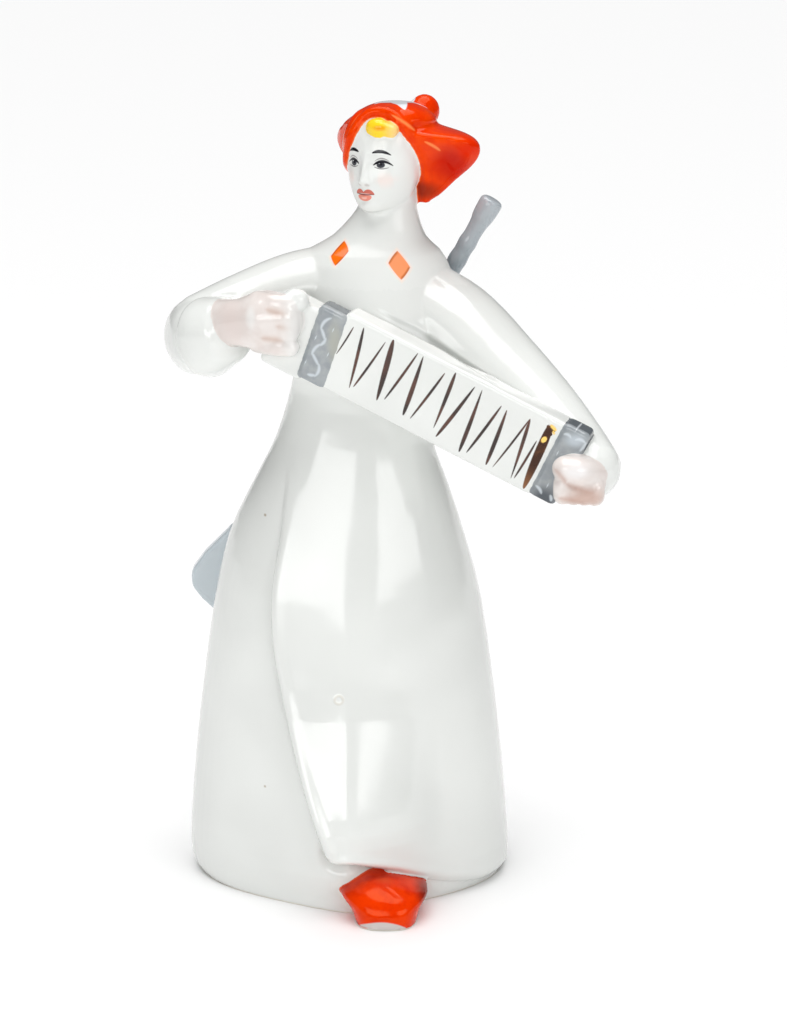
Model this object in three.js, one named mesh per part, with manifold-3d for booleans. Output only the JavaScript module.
// A glazed porcelain figurine of an accordion player in a long coat and a pointed cloth cap.
// Millimetres, +Z up. It faces -Y and stands on its flat underside, the origin in its middle.
// It is cast as one hollow body, so it is one piece here, with its hollow closed.
import * as THREE from 'three';
import { mergeVertices } from 'three/addons/utils/BufferGeometryUtils.js';
import Module from 'manifold-3d';

const wasm = await Module();
wasm.setup();

const UP = new THREE.Vector3(0, 0, 1);
const vec = (x, y, z) => new THREE.Vector3(x, y, z);
const { degToRad: radians, smoothstep } = THREE.MathUtils;

// Driving sizes of the body: rows of a stack, each with how far it reaches to each side, and
// with a waist where its widest line lies off the middle. A blunt value of 2 is an ellipse, and
// a lower one draws the front to a soft keel.
const COAT_SIDES = 40;
const COAT = [
  { z: -1, left: -38.6, right: 38.4, front: -34.2, back: 27, blunt: 1.3 },
  { z: 0.6, left: -40.2, right: 39.3, front: -34.4, back: 28.4, blunt: 1.3 },
  { z: 4, left: -41.9, right: 40.6, front: -33.8, back: 29.6, blunt: 1.3 },
  { z: 14, left: -42, right: 40.2, front: -35.6, back: 29.6, blunt: 1.35 },
  { z: 40, left: -39.6, right: 37.8, front: -31.6, back: 27, blunt: 1.45 },
  { z: 72, left: -35.1, right: 33.3, front: -25.6, back: 22, blunt: 1.7 },
  { z: 90, left: -30.9, right: 28.6, front: -21.4, back: 18.2, blunt: 1.9 },
  { z: 103, left: -24.9, right: 24.4, front: -18, back: 15.2, blunt: 2 },
  { z: 115, left: -18.9, right: 20.4, front: -15.6, back: 13.4, blunt: 2 },
  { z: 128, left: -14.9, right: 20.6, front: -18.4, back: 12.8, blunt: 2 },
  { z: 144, left: -14.2, right: 28.4, front: -20.6, back: 13.6, blunt: 2.1 },
  { z: 160, left: -12.6, right: 24, front: -13.6, back: 11.4, blunt: 2 },
  { z: 166, left: -4.4, right: 18.8, front: -9.6, back: 9, blunt: 2 },
  { z: 173, left: 1.8, right: 16.5, front: -7, back: 8, blunt: 2 },
  { z: 178, left: 2.2, right: 16.2, front: -6, back: 8, blunt: 2 },
];

// The front flap of the coat laps over the other side: its edge falls from the accordion to a
// corner over the boot, and its hem runs from there round to the side. It thins out upwards.
const LAP = 1.6;
const LAP_AT_EDGE = 3;
const LAP_ROUNDER = 0.4;
const LAP_SUNK = 0.5;
const LAP_SWELLS = [0, 24];
const LAP_THINS = [66, 118];
const LAP_WRAPS = [0, 0.6];
const LAP_LIPS = [-0.2, 0.6];
const LAP_CURVE_STEPS = 4;
const LAP_REACH = 60;
const LAP_EDGE = [
  [-13.5, 124], [-16.4, 96], [-18.2, 82], [-18, 68.6], [-16.3, 56.8], [-14.1, 46.7],
  [-11.2, 35.6], [-8.4, 26], [-5.4, 15.6],
];
const LAP_HEM = [[-2.4, 17.2], [3.6, 16], [9.6, 13.8], [17, 10.4], [25, 7], [33, 4]];

// The toe of the boot that steps out from under the hem.
const BOOT_SIDES = 22;
const BOOT_MIDDLE = 8.8;
const BOOT = [
  { z: -1, left: -7, right: 7, front: -44.2, back: -12, blunt: 2.3, waist: -33 },
  { z: 1, left: -7.4, right: 7.4, front: -44.9, back: -12, blunt: 2.3, waist: -33 },
  { z: 3.4, left: -8.6, right: 8.2, front: -45.3, back: -12, blunt: 2.2, waist: -33 },
  { z: 7.2, left: -11.6, right: 10.8, front: -44.2, back: -12, blunt: 2.1, waist: -33 },
  { z: 9.6, left: -11, right: 10.2, front: -42.4, back: -12, blunt: 2, waist: -33 },
  { z: 11.4, left: -8.2, right: 7.6, front: -39.8, back: -12, blunt: 2, waist: -33 },
  { z: 12.2, left: -4.6, right: 4.2, front: -37, back: -12, blunt: 2, waist: -33 },
];

// The head sits on the neck and is turned to its own right. Its rows count up from the chin.
const HEAD_SIDES = 26;
const HEAD_AT = vec(9, -1.4, 173.2);
const HEAD_TURN = radians(-32);
const HEAD = [
  { z: 0, left: -2.4, right: 2.4, front: -8, back: 0, blunt: 2, waist: -1 },
  { z: 1, left: -4.8, right: 4.8, front: -9.4, back: 2, blunt: 2, waist: -1 },
  { z: 3.4, left: -6.8, right: 6.8, front: -10, back: 5, blunt: 2, waist: -1 },
  { z: 7, left: -8.1, right: 8.1, front: -10, back: 7.4, blunt: 2.1, waist: -1 },
  { z: 11, left: -8.8, right: 8.8, front: -9.8, back: 9, blunt: 2.1, waist: -1 },
  { z: 15, left: -9, right: 9, front: -9.7, back: 9.8, blunt: 2.1, waist: -1 },
  { z: 19.5, left: -8.4, right: 8.4, front: -9, back: 9.8, blunt: 2, waist: -1 },
  { z: 22.6, left: -6.4, right: 6.4, front: -6.8, back: 8, blunt: 2, waist: -1 },
  { z: 24.4, left: -2.4, right: 2.4, front: -2.4, back: 3, blunt: 2, waist: -1 },
];

// The cloth cap, on the head's own axis: its ear flaps stand out behind the temples, and its
// edge runs from the brow past the temples to the nape, so the face is free.
const CAP = [
  { z: 1, left: -5.4, right: 7.4, front: 5, back: 8, blunt: 2, waist: 6.6 },
  { z: 3, left: -10.6, right: 11, front: 4.4, back: 9.8, blunt: 2, waist: 6.8 },
  { z: 7, left: -14.8, right: 15.4, front: 3.4, back: 11.6, blunt: 2, waist: 7 },
  { z: 11.4, left: -18.4, right: 20, front: 1, back: 12.8, blunt: 2, waist: 7 },
  { z: 15, left: -18.5, right: 22.8, front: -1.8, back: 13.2, blunt: 2, waist: 6.4 },
  { z: 17.6, left: -16.2, right: 20.8, front: -4.2, back: 13, blunt: 2, waist: 5 },
  { z: 20, left: -10, right: 13.2, front: -6, back: 12.6, blunt: 2, waist: 3 },
  { z: 22.4, left: -8.8, right: 11.6, front: -6.6, back: 11, blunt: 2, waist: 2 },
  { z: 24.6, left: -5.4, right: 9.4, front: -5.6, back: 8.8, blunt: 2, waist: 1 },
  { z: 25.8, left: -2.2, right: 6.4, front: -2.8, back: 5, blunt: 2, waist: 1 },
];

// The cap's edge is rolled: it runs from the left of the face over the brow and down to the nape.
const ROLL_HALF = 1.3;
const ROLL_SIDES = 7;
const ROLL_STEPS = 1;
const ROLL = [
  [-7.6, -3.4, 8], [-6.8, -6.8, 12.4], [-4.8, -8.2, 18.2], [-1.6, -6.4, 23.4], [2, -5.2, 24.4],
  [5.4, -5, 23.6], [8.6, -4.2, 20.4], [10, -0.4, 15.4], [9.6, 3.6, 9.4], [7.4, 6.4, 2.2],
];

// The knob at the cap's tip, the lock of hair under its brow edge and the nose.
const EGG_SIDES = [12, 7];
const KNOB = { at: [18.5, 6, 195.8], half: [3.6, 3.5, 4.2] };
const FORELOCK = { at: [8.2, -9.8, 194], half: [4.6, 2.2, 2.6] };
const NOSE = { at: [3.6, -10.7, 183.2], half: [1.1, 1.6, 2] };

// The sleeves: stations along each arm with their half thickness across and up. A limb's end is
// rounded by two rings, at these angles from its last station.
const SLEEVE_SIDES = 18;
const SLEEVE_STEPS = 3;
const HAND_SIDES = 12;
const HAND_STEPS = 2;
const END_RINGS = [36, 72];
const RIGHT_UPPER_ARM = [
  { at: [4, 0, 155], across: 11, up: 9.8 },
  { at: [-12, -1, 153.6], across: 10.6, up: 8.8 },
  { at: [-25, -3, 148.6], across: 9.8, up: 9 },
  { at: [-35.8, -5.6, 143.2], across: 9, up: 9.6 },
];
const RIGHT_SLEEVE = [
  { at: [-37.6, -4, 141.6], across: 8.6, up: 10 },
  { at: [-34.6, -10.4, 143], across: 9.4, up: 9.6 },
  { at: [-30.4, -15.2, 145.4], across: 7.8, up: 7.4 },
];
const RIGHT_HAND = [
  { at: [-34, -12, 147], across: 5, up: 5 },
  { at: [-27.6, -18, 147.8], across: 5, up: 5.4 },
  { at: [-20.4, -22.6, 149.6], across: 6, up: 7 },
  { at: [-16.4, -24.4, 150.2], across: 5.4, up: 6.2 },
];
const LEFT_ARM = [
  { at: [14, -1, 150.8], across: 12, up: 11 },
  { at: [25.4, -6, 144.8], across: 13, up: 11.2 },
  { at: [36.4, -13, 135.2], across: 12.6, up: 10.4 },
  { at: [46.4, -20.4, 125.8], across: 11, up: 9.8 },
  { at: [54, -27.6, 118.6], across: 9, up: 8.8 },
  { at: [57.4, -34, 115.8], across: 8, up: 8 },
];
const LEFT_HAND = [
  { at: [58.6, -39, 116.4], across: 4.4, up: 3.6 },
  { at: [54, -42, 118.2], across: 4.2, up: 3.6 },
  { at: [51.4, -43.4, 119.2], across: 3.4, up: 3 },
];

// The fingers: how thick they are, and on each hand the first one's three stations and the step
// to the next one. The left ones are closed under the hand.
const FINGERS = 4;
const FINGER_SIDES = 7;
const FINGER_HALF = 1.85;
const RIGHT_FINGER = [[-22, -25, 154.6], [-16.5, -27.6, 154.6], [-12.6, -27, 154.2]];
const RIGHT_FINGER_STEP = vec(0, 0, -3.5);
const LEFT_FINGER = [[50.4, -43.6, 115.8], [50.2, -44.6, 113.6], [50.4, -42.4, 111.9]];
const LEFT_FINGER_STEP = vec(3.1, 0.5, -0.4);

// The accordion hangs across the chest: it turns towards the front and slopes to its left end.
const ACCORDION_AT = vec(-6.4, -25.4, 134);
const ACCORDION_TURN = radians(14);
const ACCORDION_SLOPE = radians(24.6);
const SOFT_EDGE = 0.7;

// Its slabs: the bellows, the two bands that hold them, and the end blocks under the hands. Front
// and back are how far their faces lie before the drawn plane.
const SLABS = [
  { from: 0, to: 56.4, low: -0.6, high: 19.5, front: 0, back: -8, leans: [-0.094, 0.02] },
  { from: -6.8, to: 0.2, low: -0.8, high: 18.4, front: 0.7, back: -6.4, leans: [-0.094, -0.094] },
  { from: 56.2, to: 62.8, low: -0.2, high: 19.8, front: 0.7, back: -7, leans: [0.02, 0.03] },
  { from: -17, to: -6, low: -1.8, high: 16.6, front: 0, back: -8, leans: [-0.05, -0.094] },
  { from: 62, to: 67, low: 2, high: 16, front: -2, back: -10, leans: [0, 0] },
];

// The rifle is slung aslant over the back, from the left shoulder to the right hip.
const RIFLE_MUZZLE = vec(35.2, 9, 173);
const RIFLE_BUTT = vec(-26, 16.8, 65.4);
const BARREL_HALF = 2.3;
const MUZZLE_HALF = 2.7;
const MUZZLE_LONG = 4;
const ROD_SIDES = 14;
const RIFLE_THICK = 6;
const BARREL_FROM = 60;
const BARREL_FOOT = { at: [22.4, 8.4, 151.4], half: [4.2, 4.6, 5.4] };

// The stock, trigger guard and fore-end, along from the butt and across towards the trigger.
const STOCK = [
  [0.4, 18.6], [6, 18], [16, 15.4], [30, 9.4], [37, 7.2], [40, 9.4], [46, 8.8], [50, 6.4], [58, 6.2],
  [61, 3], [100, 2.6], [100, -2.6], [44, -3.2], [36, -1.6], [28, 0], [18, -0.4], [-5, 0.4], [-6, 8],
  [-4.8, 12.6], [-3, 16.6],
];

const WELD = 1e-4;
const GROUND = { wide: 200, deep: 20 };

// A plate of one outline, its edges softened, from its back face at 0 to its front.
function plate(outline, thick) {
  const body = new THREE.ExtrudeGeometry(outline, {
    depth: thick - 2 * SOFT_EDGE,
    bevelThickness: SOFT_EDGE,
    bevelSize: SOFT_EDGE,
    bevelOffset: -SOFT_EDGE,
    bevelSegments: 2,
  });
  return body.translate(0, 0, SOFT_EDGE);
}

// Joins and cuts work on closed bodies.
function solid(geometry) {
  const bare = geometry.index ? geometry : geometry.clone();
  bare.deleteAttribute('normal');
  bare.deleteAttribute('uv');
  const merged = mergeVertices(bare, WELD);
  return new wasm.Manifold(new wasm.Mesh({
    numProp: 3,
    vertProperties: new Float32Array(merged.attributes.position.array),
    triVerts: new Uint32Array(merged.index.array),
  }));
}

function unite(bodies) {
  return bodies.reduce((sum, body) => sum.add(body));
}

// The value between four neighbours on a smooth curve that passes through the middle two.
function smooth(a, b, c, d, t) {
  const turn = (c - a) / 2;
  const bend = a - 2.5 * b + 2 * c - d / 2;
  const twist = (d - a) / 2 + 1.5 * (b - c);
  return b + t * (turn + t * (bend + t * twist));
}

// Rows of named sizes, with more rows between them that follow a smooth curve.
function refine(rows, between) {
  const finer = [];
  for (let i = 0; i < rows.length - 1; i += 1) {
    const near = [rows[Math.max(i - 1, 0)], rows[i], rows[i + 1], rows[Math.min(i + 2, rows.length - 1)]];
    for (let k = 0; k <= between; k += 1) {
      const row = {};
      for (const key of Object.keys(rows[i])) {
        row[key] = smooth(...near.map((r) => r[key]), k / (between + 1));
      }
      finer.push(row);
    }
  }
  finer.push(rows[rows.length - 1]);
  return finer;
}

// A closed body through a pile of closed rings that have the same number of points.
function loft(rings) {
  const count = rings[0].length;
  const positions = rings.flat().flatMap((p) => [p.x, p.y, p.z]);
  const faces = [];
  for (let i = 0; i < rings.length - 1; i += 1) {
    for (let j = 0; j < count; j += 1) {
      const here = i * count;
      const next = (j + 1) % count;
      faces.push(here + j, here + next, here + count + next);
      faces.push(here + j, here + count + next, here + count + j);
    }
  }
  for (const [ring, flip] of [[0, true], [rings.length - 1, false]]) {
    const middle = new THREE.Vector3();
    rings[ring].forEach((p) => middle.addScaledVector(p, 1 / count));
    const centre = positions.length / 3;
    positions.push(middle.x, middle.y, middle.z);
    for (let j = 0; j < count; j += 1) {
      const a = ring * count + j;
      const b = ring * count + ((j + 1) % count);
      faces.push(centre, flip ? b : a, flip ? a : b);
    }
  }
  const geometry = new THREE.BufferGeometry();
  geometry.setAttribute('position', new THREE.Float32BufferAttribute(positions, 3));
  geometry.setIndex(faces);
  return geometry;
}

// One level ring of a row, widest at its waist; lift pushes its front outwards.
function levelRing(row, sides, lift) {
  const waist = row.waist ?? 0;
  const middle = (row.left + row.right) / 2;
  const half = (row.right - row.left) / 2;
  const ring = [];
  for (let i = 0; i < sides; i += 1) {
    const angle = (i / sides) * 2 * Math.PI;
    const c = Math.cos(angle);
    const s = Math.sin(angle);
    const depth = s < 0 ? waist - row.front : row.back - waist;
    const power = 2 + (row.blunt - 2) * Math.max(0, -s);
    const reach = (Math.abs(c / half) ** power + Math.abs(s / depth) ** power) ** (-1 / power);
    const far = reach + lift(row.z, -s, -c);
    ring.push(vec(middle + far * c, waist + far * s, row.z));
  }
  return ring;
}

function stack(rows, sides, between, lift = () => 0) {
  return loft(refine(rows, between).map((row) => levelRing(row, sides, lift)));
}

// A round limb along a smooth path through its stations, with rounded ends where they are asked for.
function limb(stations, sides, steps, { roundEnd = true, level = UP } = {}) {
  const path = new THREE.CatmullRomCurve3(stations.map((s) => vec(...s.at)));
  const sizes = refine(stations.map(({ across, up }) => ({ across, up })), steps - 1);
  const rings = [];
  const addRing = (middle, along, across, up) => {
    const side = along.clone().cross(level).normalize();
    const top = side.clone().cross(along);
    const ring = [];
    for (let i = 0; i < sides; i += 1) {
      const angle = (i / sides) * 2 * Math.PI;
      ring.push(middle.clone()
        .addScaledVector(top, Math.cos(angle) * up)
        .addScaledVector(side, Math.sin(angle) * across));
    }
    rings.push(ring);
  };
  const addEnd = (t, size, way) => {
    for (const angle of way > 0 ? END_RINGS : END_RINGS.toReversed()) {
      const along = path.getTangent(t);
      const further = Math.min(size.across, size.up) * way * Math.sin(radians(angle));
      const middle = path.getPoint(t).addScaledVector(along, further);
      const shrink = Math.cos(radians(angle));
      addRing(middle, along, size.across * shrink, size.up * shrink);
    }
  };
  addEnd(0, sizes[0], -1);
  sizes.forEach((size, i) => {
    const t = i / (sizes.length - 1);
    addRing(path.getPoint(t), path.getTangent(t), size.across, size.up);
  });
  if (roundEnd) addEnd(1, sizes[sizes.length - 1], 1);
  return loft(rings);
}

// An egg: a sphere with three half sizes, turned about the vertical.
function egg({ at, half }, turn) {
  const ball = new THREE.SphereGeometry(1, ...EGG_SIDES);
  ball.applyMatrix4(new THREE.Matrix4().compose(
    vec(...at),
    new THREE.Quaternion().setFromAxisAngle(UP, turn),
    vec(...half),
  ));
  return ball;
}

function coat() {
  const body = solid(stack(COAT, COAT_SIDES, 1));
  const outline = new THREE.Shape();
  outline.moveTo(...LAP_EDGE[0]);
  outline.splineThru(LAP_EDGE.slice(1).map((p) => new THREE.Vector2(...p)));
  outline.splineThru(LAP_HEM.map((p) => new THREE.Vector2(...p)));
  outline.lineTo(LAP_REACH, LAP_HEM[LAP_HEM.length - 1][1]);
  outline.lineTo(LAP_REACH, LAP_EDGE[0][1]);
  const prism = new THREE.ExtrudeGeometry(outline, {
    depth: LAP_REACH,
    bevelEnabled: false,
    curveSegments: LAP_CURVE_STEPS,
  });
  prism.rotateX(Math.PI / 2);
  const left = (z) => 1 - smoothstep(z, ...LAP_THINS);
  const rows = COAT.map((row) => {
    const rounder = LAP_ROUNDER * smoothstep(row.z, ...LAP_SWELLS) * left(row.z);
    return { ...row, blunt: row.blunt + rounder };
  });
  const lift = (z, ahead, aside) => {
    const thick = LAP + (LAP_AT_EDGE - LAP) * smoothstep(aside, ...LAP_LIPS);
    return smoothstep(ahead, ...LAP_WRAPS) * left(z) * (thick + LAP_SUNK) - LAP_SUNK;
  };
  const lap = solid(stack(rows, COAT_SIDES, 1, lift)).intersect(solid(prism));
  const boot = stack(BOOT, BOOT_SIDES, 0).translate(BOOT_MIDDLE, 0, 0);
  return unite([body, lap, solid(boot)]);
}

function head() {
  const parts = [stack(HEAD, HEAD_SIDES, 0), stack(CAP, HEAD_SIDES, 1)];
  for (const part of parts) {
    part.rotateZ(HEAD_TURN);
    part.translate(HEAD_AT.x, HEAD_AT.y, HEAD_AT.z);
  }
  const roll = ROLL.map((at) => ({
    at: vec(...at).applyAxisAngle(UP, HEAD_TURN).add(HEAD_AT).toArray(),
    across: ROLL_HALF,
    up: ROLL_HALF,
  }));
  const level = vec(0, -1, 0).applyAxisAngle(UP, HEAD_TURN);
  parts.push(limb(roll, ROLL_SIDES, ROLL_STEPS, { level }));
  parts.push(egg(KNOB, 0), egg(FORELOCK, HEAD_TURN), egg(NOSE, HEAD_TURN));
  return unite(parts.map(solid));
}

function arms() {
  return unite([
    limb(RIGHT_UPPER_ARM, SLEEVE_SIDES, SLEEVE_STEPS),
    limb(RIGHT_SLEEVE, SLEEVE_SIDES, SLEEVE_STEPS, { roundEnd: false }),
    limb(LEFT_ARM, SLEEVE_SIDES, SLEEVE_STEPS),
  ].map(solid));
}

// The fingers close over the front of each end of the accordion.
function hands() {
  const bodies = [limb(RIGHT_HAND, HAND_SIDES, HAND_STEPS), limb(LEFT_HAND, HAND_SIDES, HAND_STEPS)];
  for (const [first, step] of [[RIGHT_FINGER, RIGHT_FINGER_STEP], [LEFT_FINGER, LEFT_FINGER_STEP]]) {
    for (let i = 0; i < FINGERS; i += 1) {
      const stations = first.map((place) => ({
        at: vec(...place).addScaledVector(step, i).toArray(),
        across: FINGER_HALF,
        up: FINGER_HALF,
      }));
      bodies.push(limb(stations, FINGER_SIDES, 1, { level: step.clone().normalize() }));
    }
  }
  return unite(bodies.map(solid));
}

// One slab of the accordion, drawn on its front face; its two ends lean along as they rise.
function slab({ from, to, low, high, front, back, leans }) {
  const corner = (along, up, lean) => new THREE.Vector2(along + up * lean, up);
  const outline = new THREE.Shape([
    corner(from, low, leans[0]),
    corner(to, low, leans[1]),
    corner(to, high, leans[1]),
    corner(from, high, leans[0]),
  ]);
  return plate(outline, front - back).translate(0, 0, back);
}

function accordion() {
  const cos = Math.cos(ACCORDION_SLOPE);
  const along = vec(
    cos * Math.cos(ACCORDION_TURN),
    -cos * Math.sin(ACCORDION_TURN),
    -Math.sin(ACCORDION_SLOPE),
  );
  const front = vec(-Math.sin(ACCORDION_TURN), -Math.cos(ACCORDION_TURN), 0);
  const place = new THREE.Matrix4().makeBasis(along, front.clone().cross(along), front);
  place.setPosition(ACCORDION_AT);
  return unite(SLABS.map((size) => solid(slab(size).applyMatrix4(place))));
}

function rod(half, from, to) {
  const body = new THREE.CylinderGeometry(half, half, to - from, ROD_SIDES);
  body.rotateZ(-Math.PI / 2);
  return body.translate((from + to) / 2, 0, 0);
}

function rifle() {
  const along = RIFLE_MUZZLE.clone().sub(RIFLE_BUTT);
  const length = along.length();
  along.normalize();
  const across = along.clone().cross(vec(0, 1, 0)).normalize();
  const outline = new THREE.Shape(STOCK.map((p) => new THREE.Vector2(...p)));
  const place = new THREE.Matrix4().makeBasis(along, across, along.clone().cross(across));
  place.setPosition(RIFLE_BUTT);
  return unite([
    plate(outline, RIFLE_THICK).translate(0, 0, -RIFLE_THICK / 2),
    rod(BARREL_HALF, BARREL_FROM, length),
    rod(MUZZLE_HALF, length - MUZZLE_LONG, length),
  ].map((part) => solid(part.applyMatrix4(place)))).add(solid(egg(BARREL_FOOT, 0)));
}

// The underside is cut flat.
function ground() {
  const block = new THREE.BoxGeometry(GROUND.wide, GROUND.wide, GROUND.deep);
  return solid(block.translate(0, 0, -GROUND.deep / 2));
}

function figurine() {
  const body = unite([coat(), head(), arms(), hands(), accordion(), rifle()]).subtract(ground());
  const { vertProperties, triVerts } = body.getMesh();
  const geometry = new THREE.BufferGeometry();
  geometry.setAttribute('position', new THREE.Float32BufferAttribute(vertProperties, 3));
  geometry.setIndex(new THREE.BufferAttribute(triVerts, 1));
  geometry.computeVertexNormals();
  const porcelain = new THREE.MeshStandardMaterial({ color: 0xeeefec, roughness: 0.12, metalness: 0 });
  const mesh = new THREE.Mesh(geometry, porcelain);
  mesh.name = 'figurine';
  return mesh;
}

const part = new THREE.Group();
part.add(figurine());

export default part;
